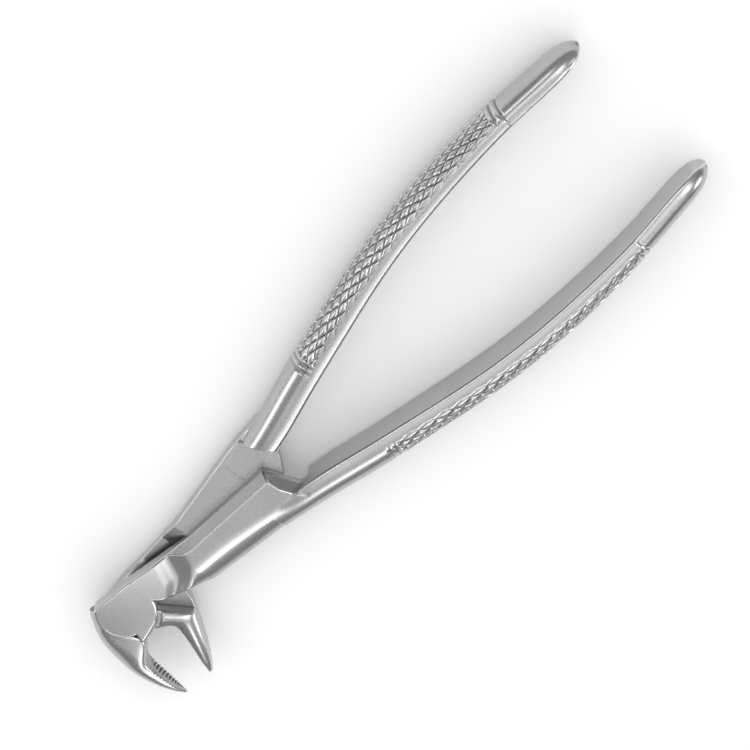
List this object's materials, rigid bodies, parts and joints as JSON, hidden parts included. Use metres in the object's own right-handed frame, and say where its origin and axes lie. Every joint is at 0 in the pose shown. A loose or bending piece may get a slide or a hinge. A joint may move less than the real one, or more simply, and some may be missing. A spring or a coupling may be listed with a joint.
{
  "type": "extraction forceps",
  "caption": "Dental extraction forceps for lower molars: curved diamond-knurled handles, a pinned lap joint and hawk-bill beaks with toothed rims and pointed tips.",
  "frame": {"origin": "on the pivot axis, in the flat rear face of the joint that carries the pin head", "axes": "+Z along the pivot axis from the rear half towards the front half, +X out between the two handles (their bisector at rest), beaks reach down -Y"},
  "size_m": [0.1614, 0.0456, 0.0124],
  "materials": {
    "front_steel": "satin stainless steel",
    "rear_steel": "satin stainless steel",
    "pin_steel": "ground flush with the rear face"
  },
  "bodies": {
    "front": {"front_half": "front_steel", "pivot_pin": "pin_steel"},
    "rear": {"rear_half": "rear_steel"}
  },
  "joints": [
    {"name": "pivot", "type": "hinge", "parent": "front", "child": "rear", "pos_m": [0, 0, 0], "axis": [0, 0, 1], "range_deg": [-10.5, 20]}
  ]
}
